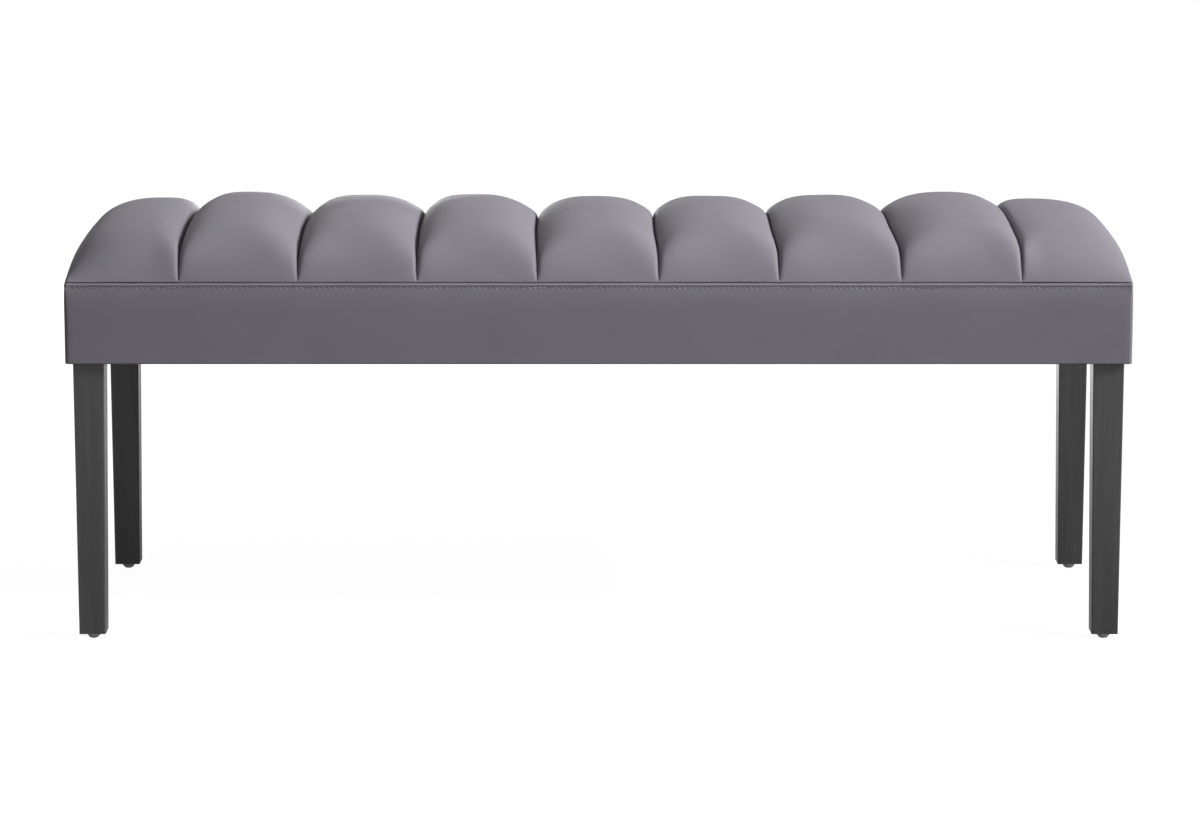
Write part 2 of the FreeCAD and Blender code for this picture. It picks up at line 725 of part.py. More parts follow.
# Hanger bolts in the legs, and the threaded inserts in the posts that they screw into.
bolt_radius = "dims.bolt_diameter / 2"
bolt_neck = f"{bolt_radius} - dims.bolt_end_bevel"
bolt_points = [
    ("0", "-dims.bolt_leg_depth"),
    (bolt_neck, "-dims.bolt_leg_depth"),
    (bolt_radius, "-dims.bolt_leg_depth + dims.bolt_end_bevel"),
    (bolt_radius, "dims.bolt_post_depth - dims.bolt_end_bevel"),
    (bolt_neck, "dims.bolt_post_depth"),
    ("0", "dims.bolt_post_depth"),
]
keep(copies("hanger_bolts", turned("hanger_bolt", bolt_points), bolt_places), "hanger_bolts")
insert_points = [
    (f"{bolt_radius} + {BORE_GAP}", "dims.cover_thickness"),
    ("dims.insert_diameter / 2", "dims.cover_thickness"),
    ("dims.insert_diameter / 2", "dims.cover_thickness + dims.insert_length"),
    (f"{bolt_radius} + {BORE_GAP}", "dims.cover_thickness + dims.insert_length"),
]
keep(copies("threaded_inserts", turned("threaded_insert", insert_points), bolt_places), "threaded_inserts")

# Glides: small plastic domes with a flat tip, each held under its leg by a nail.
glide_points = [
    ("0", "0"),
    ("dims.glide_flat_diameter / 2", "0"),
    ("dims.glide_diameter / 2", "dims.glide_height"),
    ("0", "dims.glide_height"),
]
for (corner, side_x, side_y), (base, turn) in zip(CORNERS, foot_places):
    dome = turned(f"glide_dome_{corner}", glide_points, {1: "dims.glide_dome_radius"})
    place(dome, base)
    keep(cut(f"glide_{corner}", dome, nail_bores), f"glide_{corner}")
keep(copies("glide_nails", turned("glide_nail", nail_points), foot_places), "glide_nails")

# Dust cover: a thin cloth under the frame, notched round the legs and stapled to the rails.
CLOTH_X = f"({HALF_LENGTH} - dims.dust_cover_margin)"
CLOTH_Y = f"({HALF_DEPTH} - dims.dust_cover_margin)"
NOTCH_X = f"({HALF_LENGTH} - dims.leg_inset - dims.leg_top_width - dims.leg_notch_clearance)"
NOTCH_Y = f"({HALF_DEPTH} - dims.leg_inset - dims.leg_top_width - dims.leg_notch_clearance)"
cloth_corner = [(NOTCH_X, CLOTH_Y), (NOTCH_X, NOTCH_Y), (CLOTH_X, NOTCH_Y)]
cloth_points = []
for side_x, side_y in ((1, 1), (1, -1), (-1, -1), (-1, 1)):
    corner_points = cloth_corner if side_x == side_y else list(reversed(cloth_corner))
    cloth_points += [(f"{side_x} * {across}", f"{side_y} * {deep}") for across, deep in corner_points]
cloth = prism(
    "dust_cloth", cloth_points, f"{BAND_BOTTOM} - dims.dust_cover_thickness", "dims.dust_cover_thickness"
)
keep(cut("dust_cover", cloth, staple_slots), "dust_cover")
keep(copies("dust_cover_staples", staple("staple", "0"), staple_places()), "dust_cover_staples")

doc.recompute()

for item in doc.Objects:
    if "Invalid" in item.State or "Error" in item.State:
        raise RuntimeError(f"{item.Name} failed to build")
for item in sub_parts:
    if item.Shape.isNull() or not item.Shape.isValid() or not item.Shape.Solids:
        raise RuntimeError(f"{item.Label} has no valid solid")

os.makedirs("parts", exist_ok=True)
for item in sub_parts:
    item.Shape.exportStep(f"parts/{item.Label}.step")
print(f"{len(sub_parts)} sub-parts written")
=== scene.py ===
import math
import bpy
import numpy as np
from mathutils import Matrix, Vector


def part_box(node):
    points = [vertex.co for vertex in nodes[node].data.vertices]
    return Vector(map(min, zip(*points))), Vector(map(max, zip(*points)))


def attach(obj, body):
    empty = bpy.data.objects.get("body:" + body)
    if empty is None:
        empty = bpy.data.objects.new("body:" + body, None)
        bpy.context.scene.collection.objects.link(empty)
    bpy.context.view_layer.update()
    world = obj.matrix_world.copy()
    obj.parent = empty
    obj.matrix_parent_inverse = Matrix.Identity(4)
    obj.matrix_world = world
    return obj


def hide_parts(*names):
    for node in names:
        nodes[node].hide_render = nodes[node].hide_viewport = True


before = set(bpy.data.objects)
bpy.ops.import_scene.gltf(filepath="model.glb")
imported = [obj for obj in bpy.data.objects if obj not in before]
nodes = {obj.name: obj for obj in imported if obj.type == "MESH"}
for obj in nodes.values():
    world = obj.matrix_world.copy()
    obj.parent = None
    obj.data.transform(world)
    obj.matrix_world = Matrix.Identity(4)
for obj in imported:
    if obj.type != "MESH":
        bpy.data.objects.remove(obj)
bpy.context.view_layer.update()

scene = bpy.context.scene
scene.view_settings.view_transform = "Standard"

# Timber frame: the hidden frame of the seat, of planed softwood posts, long rails, end rails and two
# cross rails. The rails are doweled into the posts, and the cross rails are screwed to the long rails.
# The wood is left bare, and its grain runs along each piece.
TIMBER_PALE = (0.60, 0.43, 0.25, 1)
TIMBER_DARK = (0.40, 0.25, 0.12, 1)
TIMBER_ROUGHNESS = 0.65
TIMBER_RELIEF = 0.3
RING_NOISE = {"Scale": 1.0, "Detail": 6.0, "Roughness": 0.6}
RING_SPAN = (0.35, 0.65)
PORE_NOISE = {"Scale": 9.0, "Detail": 3.0, "Roughness": 0.7}
PORE_SHARE = 0.6
GRAIN_LONG = 4
GRAIN_CROSS = 90
GRAIN_DEPTH = 0.0004
COAT_ROUGHNESS = 0.35
CORNERS = ("front_left", "front_right", "back_left", "back_right")


def set_socket(tree, socket, value):
    """Set a socket to a plain value, or link it to the socket that is given."""
    if isinstance(value, bpy.types.NodeSocket):
        tree.links.new(value, socket)
    else:
        socket.default_value = value


def fill_inputs(tree, node, **inputs):
    """Set or link a node's inputs by their names, and return the node."""
    for name, value in inputs.items():
        set_socket(tree, node.inputs[name.replace("_", " ")], value)
    return node


def add_node(tree, kind, **inputs):
    """A new node with its inputs filled in."""
    return fill_inputs(tree, tree.nodes.new(kind), **inputs)


def add_group(tree, group, **inputs):
    """A new group node with its inputs filled in."""
    node = tree.nodes.new("ShaderNodeGroup")
    node.node_tree = group
    return fill_inputs(tree, node, **inputs)


def noise(tree, where, **inputs):
    """The grey value of a noise pattern."""
    return add_node(tree, "ShaderNodeTexNoise", Vector=where, **inputs).outputs["Fac"]


def maths(tree, operation, *values):
    """The result of a Math node on values or sockets."""
    node = tree.nodes.new("ShaderNodeMath")
    node.operation = operation
    for socket, value in zip(node.inputs, values):
        set_socket(tree, socket, value)
    return node.outputs["Value"]


def ranged(tree, value, span=(0, 1), result=(0, 1)):
    """A value carried in a straight line from one range to another, and held within it."""
    node = add_node(tree, "ShaderNodeMapRange", Value=value, From_Min=span[0], From_Max=span[1])
    return fill_inputs(tree, node, To_Min=result[0], To_Max=result[1]).outputs["Result"]


def blended(tree, share, first, second):
    """Two colours mixed by a share."""
    node = tree.nodes.new("ShaderNodeMix")
    node.data_type = "RGBA"
    return fill_inputs(tree, node, Factor=share, A=first, B=second).outputs["Result"]


def bumped(tree, height, strength, depth):
    """The normal of a surface with a height pattern pressed into it."""
    node = add_node(tree, "ShaderNodeBump", Height=height, Strength=strength, Distance=depth)
    return node.outputs["Normal"]


def new_group(name, inputs, outputs):
    """An empty shader group with its sockets: returns the tree, its input node and its output node."""
    tree = bpy.data.node_groups.new(name, "ShaderNodeTree")
    for label, kind, value in inputs:
        socket = tree.interface.new_socket(label, in_out="INPUT", socket_type=kind)
        socket.default_value = value
    for label, kind in outputs:
        tree.interface.new_socket(label, in_out="OUTPUT", socket_type=kind)
    return tree, tree.nodes.new("NodeGroupInput"), tree.nodes.new("NodeGroupOutput")


def start_material(name):
    """A new material: returns it with its tree, its shader and the object's own coordinates."""
    material = bpy.data.materials.new(name)
    material.use_nodes = True
    tree = material.node_tree
    where = tree.nodes.new("ShaderNodeTexCoord").outputs["Object"]
    return material, tree, tree.nodes["Principled BSDF"], where


def wood_grain_group():
    """Long streaks of early and late wood with fine pores, as a colour and a height."""
    tree, given, out = new_group(
        "wood_grain",
        [
            ("Vector", "NodeSocketVector", (0, 0, 0)),
            ("Pale", "NodeSocketColor", TIMBER_PALE),
            ("Dark", "NodeSocketColor", TIMBER_DARK),
        ],
        [("Color", "NodeSocketColor"), ("Height", "NodeSocketFloat")],
    )
    rings = noise(tree, given.outputs["Vector"], **RING_NOISE)
    pores = noise(tree, given.outputs["Vector"], **PORE_NOISE)
    streaks = ranged(tree, rings, RING_SPAN)
    fill_inputs(
        tree,
        out,
        Color=blended(tree, streaks, given.outputs["Dark"], given.outputs["Pale"]),
        Height=maths(tree, "MULTIPLY_ADD", pores, PORE_SHARE, rings),
    )
    return tree


wood_grain = wood_grain_group()


def wood_material(name, axis, pale, dark, roughness, relief, coat=0.0):
    """Wood with its grain along one axis of the bench."""
    material, tree, shader, where = start_material(name)
    scales = [GRAIN_LONG if other == axis else GRAIN_CROSS for other in "xyz"]
    mapping = add_node(tree, "ShaderNodeMapping", Vector=where, Scale=scales)
    grain = add_group(tree, wood_grain, Vector=mapping.outputs["Vector"], Pale=pale, Dark=dark)
    fill_inputs(
        tree,
        shader,
        Base_Color=grain.outputs["Color"],
        Roughness=roughness,
        Coat_Weight=coat,
        Coat_Roughness=COAT_ROUGHNESS,
        Normal=bumped(tree, grain.outputs["Height"], relief, GRAIN_DEPTH),
    )
    return material


def dress(names, material):
    """Give CAD pieces their finish."""
    for name in names:
        nodes[name].data.materials.clear()
        nodes[name].data.materials.append(material)


timber = {
    axis: wood_material(
        f"softwood_{axis}", axis, TIMBER_PALE, TIMBER_DARK, TIMBER_ROUGHNESS, TIMBER_RELIEF
    )
    for axis in "xyz"
}
dress([f"corner_post_{corner}" for corner in CORNERS], timber["z"])
dress(["front_rail", "back_rail", "rail_dowels"], timber["x"])
dress(["left_rail", "right_rail", "cross_rail_left", "cross_rail_right"], timber["y"])

# Fasteners: zinc plated steel screws, hanger bolts, threaded inserts, nails and staples, which hold
# the frame, the legs, the glides and the dust cover. The plating is a dull grey with faint clouds.
PLATE_COLOUR = (0.58, 0.59, 0.60, 1)
PLATE_ROUGHNESS = (0.28, 0.5)
PLATE_CLOUDS = {"Scale": 900.0, "Detail": 2.0}
FASTENERS = (
    "seat_board_screws",
    "cross_rail_screws",
    "hanger_bolts",
    "threaded_inserts",
    "glide_nails",
    "dust_cover_staples",
)


def plated_steel():
    """Zinc plate: metallic grey whose roughness drifts in small clouds."""
    material, tree, shader, where = start_material("zinc_plate")
    rough = ranged(tree, noise(tree, where, **PLATE_CLOUDS), result=PLATE_ROUGHNESS)
    fill_inputs(tree, shader, Base_Color=PLATE_COLOUR, Metallic=1.0, Roughness=rough)
    return material


dress(FASTENERS, plated_steel())

# Seat board: one sheet of sanded plywood that closes the top of the frame and carries the foam.
# It is screwed down to the rails, with its face grain along the bench.
PLY_PALE = (0.66, 0.50, 0.32, 1)
PLY_DARK = (0.52, 0.36, 0.20, 1)
PLY_ROUGHNESS = 0.7
PLY_RELIEF = 0.2
dress(["seat_board"], wood_material("plywood", "x", PLY_PALE, PLY_DARK, PLY_ROUGHNESS, PLY_RELIEF))

# Base foam: a cut sheet of open-cell foam that lies between the board and the channel pads.
# Its edges are slightly eased by the cutter, and its cells show as fine pits, painted darker as painted
# shade.
FOAM_EASE = 0.003
FOAM_STEPS = 5
FOAM_CELLS = 900.0
FOAM_PIT_SHADE = (0.66, 0.58, 0.36, 1)
FOAM_FACE = (0.84, 0.78, 0.58, 1)
FOAM_ROUGHNESS = 0.95
FOAM_RELIEF = 0.6
FOAM_PIT_DEPTH = 0.0006
QUARTERS = ((1, 1), (-1, 1), (-1, -1), (1, -1))


def new_piece(name, points, faces, material):
    """A smooth mesh piece at the origin from points and faces, riding on the bench."""
    mesh = bpy.data.meshes.new(name)
    mesh.from_pydata(np.asarray(points).reshape(-1, 3).tolist(), [], faces)
    mesh.update()
    mesh.polygons.foreach_set("use_smooth", np.ones(len(mesh.polygons), dtype=bool))
    mesh.materials.append(material)
    piece = bpy.data.objects.new(name, mesh)
    scene.collection.objects.link(piece)
    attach(piece, "root")
    return piece


def ring_faces(rings, count, close=False):
    """Quads between rings of count points each, the last joined to the first or both ends capped."""
    row = np.arange(count)
    ahead = np.roll(row, -1)
    faces = []
    for ring in range(rings if close else rings - 1):
        low = ring * count
        high = ((ring + 1) % rings) * count
        faces += np.stack([low + row, low + ahead, high + ahead, high + row], axis=1).tolist()
    if not close:
        faces.append(row[::-1].tolist())
        faces.append(((rings - 1) * count + row).tolist())
    return faces


def rounded_plan(half_x, half_y, radius, steps):
    """Points round a rectangle with quarter-circle corners, anticlockwise seen from above."""
    turn = np.linspace(0, math.pi / 2, steps)
    points = []
    for index, (side_x, side_y) in enumerate(QUARTERS):
        angle = turn + index * math.pi / 2
        x = side_x * (half_x - radius) + radius * np.cos(angle)
        y = side_y * (half_y - radius) + radius * np.sin(angle)
        points.append(np.stack([x, y], axis=1))
    return np.concatenate(points)


def foam_material():
    """Pale yellow foam with open cells a millimetre across, painted darker in the cells as painted shade."""
    material, tree, shader, where = start_material("open_cell_foam")
    cells = add_node(tree, "ShaderNodeTexVoronoi", Vector=where, Scale=FOAM_CELLS).outputs["Distance"]
    fill_inputs(
        tree,
        shader,
        # the pits of the cells take the darker yellow: painted shade in the pits
        Base_Color=blended(tree, cells, FOAM_PIT_SHADE, FOAM_FACE),
        Roughness=FOAM_ROUGHNESS,
        Normal=bumped(tree, cells, FOAM_RELIEF, FOAM_PIT_DEPTH),
    )
    return material


foam_low, foam_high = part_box("base_foam")
foam_half = (foam_high - foam_low) / 2
foam_turn = np.linspace(0, math.pi / 2, FOAM_STEPS)
side_ease = FOAM_EASE * (1 - np.sin(foam_turn))
face_ease = FOAM_EASE * (1 - np.cos(foam_turn))
foam_insets = np.concatenate([side_ease, face_ease])
foam_heights = np.concatenate([foam_low.z + face_ease, foam_high.z - side_ease])
foam_rings = []
for inset, height in zip(foam_insets, foam_heights):
    plan = rounded_plan(foam_half.x - inset, foam_half.y - inset, FOAM_EASE, FOAM_STEPS)
    foam_rings.append(np.column_stack([plan, np.full(len(plan), height)]))
base_foam = new_piece(
    "foam_sheet", np.concatenate(foam_rings), ring_faces(len(foam_rings), len(foam_rings[0])), foam_material()
)
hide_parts("base_foam")

# Side band: one flat strip of matt grey artificial leather round the frame, over wadding. Its upper
# edge is folded and top-stitched where it joins the seat cover, and its lower edge is turned under
# the frame. The hide has a fine pebble, a soft mottle and a weak, broad gloss.
BAND_CORNER = 0.0045
BAND_CORNER_STEPS = 7
BAND_SIDE_STEP = 0.006
SEAM_SETTLE = 0.0012
ROLL_HIGH = 0.0021
ROLL_DEEP = 0.0017
ROLL_POWER = 1.4
ROLL_INSET = 0.0018
STITCH_DROP = 0.0052
STITCH_DIP = 0.0023
STITCH_EASE = 0.010
BAND_RELAX = 0.045
BAND_BACK = 0.0055
HIDE_THICKNESS = 0.0012
HEM_ROUND = 0.0014
BAND_WAVE = 0.0004
WAVE_PARTS = ((1.0, 19.0, 0.0), (0.7, 7.3, 1.0))
END_PULL_SHARE = 0.4
ROLL_POINTS = 13
GROOVE_POINTS = 52
GROOVE_SPREAD = 1.6
FLAT_POINTS = 20
HEM_POINTS = 7
HEADINGS = ((-1, 0), (0, -1), (1, 0), (0, 1))


def srgb(red, green, blue):
    """A colour written in 8-bit display values, as the linear colour that a shader takes."""
    shares = np.array([red, green, blue]) / 255
    linear = np.where(shares <= 0.04045, shares / 12.92, ((shares + 0.055) / 1.055) ** 2.4)
    return (*linear.tolist(), 1)


COVER_COLOUR = srgb(121, 118.5, 126)
COVER_SHADE = srgb(117, 114.5, 122)
COVER_ROUGHNESS = (0.58, 0.70)
COVER_RELIEF = 0.25
COVER_GRAIN_DEPTH = 0.0002
COVER_SPECULAR = 0.08
COVER_SHEEN = 0.03
SHEEN_ROUGHNESS = 0.5
PEBBLE_SCALE = 1100.0
FINE_GRAIN = {"Scale": PEBBLE_SCALE / 3, "Detail": 4.0}
FINE_GRAIN_SHARE = 0.8
MOTTLE = {"Scale": 14.0, "Detail": 4.0}
MOTTLE_SPAN = (0.3, 0.7)


def hide_group():
    """Pebbled hide: a colour that drifts between two greys, the height of its grain and its gloss."""
    tree, given, out = new_group(
        "pebbled_hide",
        [
            ("Vector", "NodeSocketVector", (0, 0, 0)),
            ("Light", "NodeSocketColor", COVER_COLOUR),
            ("Shade", "NodeSocketColor", COVER_SHADE),
        ],
        [("Color", "NodeSocketColor"), ("Height", "NodeSocketFloat"), ("Roughness", "NodeSocketFloat")],
    )
    where = given.outputs["Vector"]
    pebble = add_node(tree, "ShaderNodeTexVoronoi", Vector=where, Scale=PEBBLE_SCALE)
    pebble.feature = "SMOOTH_F1"
    fine = noise(tree, where, **FINE_GRAIN)
    mottle = ranged(tree, noise(tree, where, **MOTTLE), MOTTLE_SPAN)
    fill_inputs(
        tree,
        out,
        Color=blended(tree, mottle, given.outputs["Shade"], given.outputs["Light"]),
        Height=maths(tree, "MULTIPLY_ADD", fine, FINE_GRAIN_SHARE, pebble.outputs["Distance"]),
        Roughness=ranged(tree, fine, result=COVER_ROUGHNESS),
    )
    return tree


def hide_material(name, light, shade):
    """Artificial leather in one colour."""
    material, tree, shader, where = start_material(name)
    hide = add_group(tree, hide_group(), Vector=where, Light=light, Shade=shade)
    fill_inputs(
        tree,
        shader,
        Base_Color=hide.outputs["Color"],
        Roughness=hide.outputs["Roughness"],
        Normal=bumped(tree, hide.outputs["Height"], COVER_RELIEF, COVER_GRAIN_DEPTH),
        Specular_IOR_Level=COVER_SPECULAR,
        Sheen_Weight=COVER_SHEEN,
        Sheen_Roughness=SHEEN_ROUGHNESS,
    )
    return material


cover_hide = hide_material("cover_hide", COVER_COLOUR, COVER_SHADE)
front_low, front_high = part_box("front_band")
band_half_x = -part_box("left_band")[0].x
band_half_y = -front_low.y
seam_top = front_high.z - SEAM_SETTLE
band_bottom = front_low.z
turn_under = front_high.y - front_low.y


def smooth_step(share):
    """A share that starts and ends level: three times its square, less twice its cube."""
    return share**2 * (3 - 2 * share)


def band_profile():
    """Offset inwards and height of the band's outer face, from the seam down and under the frame.

    The folded edge is a half superellipse. The flap below it eases in to the stitches along a smooth
    step. Under them the face comes back out by an exponential, runs flat and ends in a quarter-round
    hem."""
    turn = np.linspace(math.pi, 0, ROLL_POINTS)
    over = -np.sign(np.cos(turn)) * np.abs(np.cos(turn)) ** (2 / ROLL_POWER)
    high = np.abs(np.sin(turn)) ** (2 / ROLL_POWER)
    edge = np.column_stack([ROLL_INSET + ROLL_DEEP * (1 + over), seam_top - ROLL_HIGH * (1 - high)])
    steps = np.linspace(0, 1, GROOVE_POINTS - ROLL_POINTS + 1)[1:]
    drops = ROLL_HIGH + (BAND_RELAX - ROLL_HIGH) * steps**GROOVE_SPREAD
    eased = np.clip((drops - ROLL_HIGH) / (STITCH_DROP - ROLL_HIGH), 0, 1)
    flap = ROLL_INSET + (STITCH_DIP - ROLL_INSET) * smooth_step(eased)
    pull = flap * np.exp(-np.maximum(drops - STITCH_DROP, 0) / STITCH_EASE)
    groove = np.column_stack([pull, seam_top - drops])
    flat_heights = np.linspace(seam_top - BAND_RELAX, band_bottom + HEM_ROUND, FLAT_POINTS)[1:]
    flat = np.column_stack([np.zeros(len(flat_heights)), flat_heights])
    hem_turn = np.linspace(0, math.pi / 2, HEM_POINTS)[1:]
    hem_heights = band_bottom + HEM_ROUND * (1 - np.sin(hem_turn))
    hem = np.column_stack([HEM_ROUND * (1 - np.cos(hem_turn)), hem_heights])
    under = np.array([[turn_under / 2, band_bottom], [turn_under, band_bottom]])
    inner = band_bottom + HIDE_THICKNESS
    inside = np.array([[turn_under, inner], [BAND_BACK, inner], [BAND_BACK, seam_top - 2 * ROLL_HIGH]])
    return np.concatenate([edge, groove, flat, hem, under, inside])


def band_path():
    """Points round the plan with their outward directions: quarter circles at the corners and even
    steps along the straight sides between them."""
    turn = np.linspace(0, math.pi / 2, BAND_CORNER_STEPS)
    places = []
    outwards = []
    for index, (side_x, side_y) in enumerate(QUARTERS):
        angle = turn + index * math.pi / 2
        out = np.column_stack([np.cos(angle), np.sin(angle)])
        centre = np.array([side_x * (band_half_x - BAND_CORNER), side_y * (band_half_y - BAND_CORNER)])
        places.append(centre + BAND_CORNER * out)
        outwards.append(out)
        run = 2 * ((band_half_x if index % 2 == 0 else band_half_y) - BAND_CORNER)
        shares = np.linspace(0, 1, int(run / BAND_SIDE_STEP) + 1)[1:-1, None]
        places.append(places[-1][-1] + shares * np.array(HEADINGS[index]) * run)
        outwards.append(np.repeat(out[-1:], len(shares), axis=0))
    return np.concatenate(places), np.concatenate(outwards)


def end_pull(outwards):
    """Share of the stitches' pull: whole on the long sides and less on the ends of the bench."""
    return 1 - (1 - END_PULL_SHARE) * np.abs(outwards[:, :1])


band_points = band_profile()
path_places, path_outwards = band_path()
path_lengths = np.concatenate([[0], np.cumsum(np.linalg.norm(np.diff(path_places, axis=0), axis=1))])
waves = [share * np.sin(path_lengths * rate + phase) for share, rate, phase in WAVE_PARTS]
wave = BAND_WAVE * sum(waves) / len(waves)
face_share = np.clip((seam_top - band_points[:, 1] - STITCH_DROP) / BAND_RELAX, 0, 1)
face_share *= np.clip((band_points[:, 1] - band_bottom - HEM_ROUND) / BAND_RELAX, 0, 1)
pulled = np.where(np.arange(len(band_points)) < GROOVE_POINTS, end_pull(path_outwards), 1)
inset = pulled * band_points[None, :, 0] + np.abs(wave)[:, None] * face_share[None, :]
plan = path_places[:, None, :] - path_outwards[:, None, :] * inset[:, :, None]
heights = np.broadcast_to(band_points[None, :, 1, None], (len(path_places), len(band_points), 1))
side_band = new_piece(
    "side_band",
    np.concatenate([plan, heights], axis=2),
    ring_faces(len(path_places), len(band_points), close=True),
    cover_hide,
)
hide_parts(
    "front_band",
    "back_band",
    "left_band",
    "right_band",
    "front_wadding",
    "back_wadding",
    "left_wadding",
    "right_wadding",
)

# Channels: nine strips of the same hide, sewn together along the valleys over foam fill. Each swells
# between its two seams and rolls down to the band at the front and back; the end ones dome over the
# ends of the bench.
SEAM_PLACES = (-0.6, -0.4724, -0.3383, -0.2045, -0.0692, 0.0675, 0.2027, 0.3403, 0.4756, 0.6)
SEAM_LEANS = (0, -0.0025, -0.0030, -0.0025, -0.0030, -0.0030, -0.0036, -0.0040, -0.0005, 0)
LEAN_RUN_SHARE = 0.8
VALLEY_RISES = (0.0450, 0.0406, 0.0421, 0.0397, 0.0418, 0.0438, 0.0448, 0.0496)
VALLEY_POWER = 18.0
VALLEY_DOMES = (0.3, 0.6)
CREST_RISES = (0.0566, 0.0640, 0.0600, 0.0608, 0.0582, 0.0587, 0.0601, 0.0637, 0.0548)
CREST_LEAN_SHARES = (0, -0.143, -0.103, -0.157, -0.037, -0.031, 0.007, 0.097, 0)
CREST_POWER = 9.5
CREST_DOME = 0.22
END_ROUNDS = (0.084, 0.090)
END_POWERS = (2.6, 2.95)
CORNER_POWER = 5.4
CORNER_EASE = 1.5
PUFF_POWER = 2.9
ROLL_TIGHT = 1.0
ROLL_TIGHT_POWER = 5.0
CREASE_DEPTH = 0.009
CREASE_WIDTH = 0.0015
CREASE_START = 0.022
EDGE_TUCK = 0.0020
EDGE_LIFT = 0.0016
EDGE_SINK = 0.0004
PAD_CLEARANCE = 0.0002
COVER_SINK = 0.0032
END_SINK = 0.0012
ACROSS_STEPS = 61
OVER_STEPS = 181
PUCKER_DEPTH = 0.0002
PUCKER_REACH = 0.012
PUCKER_SPACING = 0.026
PUCKER_SHIFT = 9
PUCKER_DRIFT = 1.7
PUCKER_DRIFT_RATE = 31
PUCKER_DRIFT_SHIFT = 50
SLACK_DEPTH = 0.0002
SLACK_OVER_RATES = (41, 23)
SLACK_ACROSS_RATES = (37, -61)
CHANNELS = len(CREST_RISES)


def swell(angle, power):
    """Superellipse at an angle round its upper half: place from -1 to 1 and height from 0 to 1."""
    along = -np.sign(np.cos(angle)) * np.abs(np.cos(angle)) ** (2 / power)
    return along, np.abs(np.sin(angle)) ** (2 / power)


def crown_power(share, power):
    """Power of the front-to-back curve: the crest's own, moved by a share towards another."""
    return CREST_POWER + (power - CREST_POWER) * share


def middle_channel(index):
    """Places, tops, falls, shares and powers across a channel between two valleys. The rise falls from
    the crest to each valley with a power of the distance, and the crest leans a little to one side."""
    left, right = SEAM_PLACES[index : index + 2]
    across = -np.cos(np.linspace(0, math.pi, ACROSS_STEPS))
    leaned = across + CREST_LEAN_SHARES[index] * (1 - across**2)
    tops = np.full(ACROSS_STEPS, CREST_RISES[index])
    falls = tops - np.where(across < 0, VALLEY_RISES[index - 1], VALLEY_RISES[index])
    shares = np.abs(across) ** PUFF_POWER
    places = (left + right) / 2 + leaned * (right - left) / 2
    return places, tops, falls, shares, crown_power(shares, VALLEY_POWER)


def end_channel(width, dome, end_power, crest, valley):
    """Distances from the end of the bench, tops, falls, shares and powers: a quarter superellipse up to
    the crest, with softer corners, then the same fall to the valley as the other channels have."""
    turn = np.linspace(0, math.pi / 2, ACROSS_STEPS // 2 + 1)[:-1]
    dome_along, dome_high = swell(turn, end_power)
    inner = np.sin(np.linspace(0, math.pi / 2, ACROSS_STEPS // 2 + 1))
    distances = np.concatenate([dome * (1 + dome_along), dome + (width - dome) * inner])
    tops = np.concatenate([crest * dome_high, np.full(len(inner), crest)])
    shares = np.concatenate([np.zeros(len(turn)), inner**PUFF_POWER])
    corner = crown_power((-dome_along) ** CORNER_EASE, CORNER_POWER)
    power = np.concatenate([corner, crown_power(inner**PUFF_POWER, VALLEY_POWER)])
    return distances, tops, np.full(ACROSS_STEPS, crest - valley), shares, power


def channel_lines(index):
    """Places along the bench across one channel, and at each its top, fall, share and power."""
    if 0 < index < CHANNELS - 1:
        return middle_channel(index)
    end = 0 if index == 0 else -1
    width = SEAM_PLACES[index + 1] - SEAM_PLACES[index]
    distances, *lines = end_channel(
        width, END_ROUNDS[end], END_POWERS[end], CREST_RISES[end], VALLEY_RISES[end]
    )
    if index == 0:
        return SEAM_PLACES[0] + distances, *lines
    return (SEAM_PLACES[-1] - distances)[::-1], *(line[::-1] for line in lines)


def channel_crown(index):
    """Grid over one channel, front to back and left to right. At each place across it the height is
    the rise there times a mix of two curves of the place between front and back: one minus a high
    power, which gives the firm edge, and one minus the square, which gives the dome. The valleys take
    more of the dome, most of all at the back. Towards the band the share of the fall takes a higher
    power, so that the round flanks close up. The seams lean aside by a smooth step on their way back."""
    places, tops, falls, shares, power = channel_lines(index)
    over = -np.cos(np.linspace(0, math.pi, OVER_STEPS))[:, None]
    back_share = smooth_step((over + 1) / 2)
    valley_dome = VALLEY_DOMES[0] + (VALLEY_DOMES[1] - VALLEY_DOMES[0]) * back_share
    dome = CREST_DOME + (valley_dome - CREST_DOME) * shares[None, :]
    height = (1 - dome) * (1 - np.abs(over) ** power[None, :]) + dome * (1 - over**2)
    tight = 1 + ROLL_TIGHT * np.abs(over) ** ROLL_TIGHT_POWER
    rises = tops[None, :] - falls[None, :] * shares[None, :] ** tight
    from_end = np.clip(band_half_x - np.abs(places), 0, BAND_CORNER)
    corner = BAND_CORNER - np.sqrt(np.maximum(BAND_CORNER**2 - (BAND_CORNER - from_end) ** 2, 0))
    lean = np.interp(places, SEAM_PLACES, SEAM_LEANS)
    leaned = smooth_step(np.clip((over + 1) / LEAN_RUN_SHARE, 0, 1))
    x = places[None, :] * (1 - END_SINK / band_half_x) + lean[None, :] * leaned
    y = over * (band_half_y - COVER_SINK - corner)[None, :]
    return np.stack([x, y, seam_top + EDGE_LIFT + rises * height], axis=2)


# The hide is blown up like the cushion it covers: a coarse grid of each channel is pinned along its
# seams and edges, filled with pressure, and its small movement is carried back to the fine grid.
CLOTH_ROWS = 36
CLOTH_COLUMNS = 17
CLOTH_FRAMES = 20
CLOTH_QUALITY = 6
CLOTH_PRESSURE = 4.0
CLOTH_MOVE_CAP = 0.004
CLOTH_SHRINK = 0.0004
CLOTH_POINT_MASS = 0.02
SMOOTH_PASSES = 40
NO_LENGTH = 1e-12


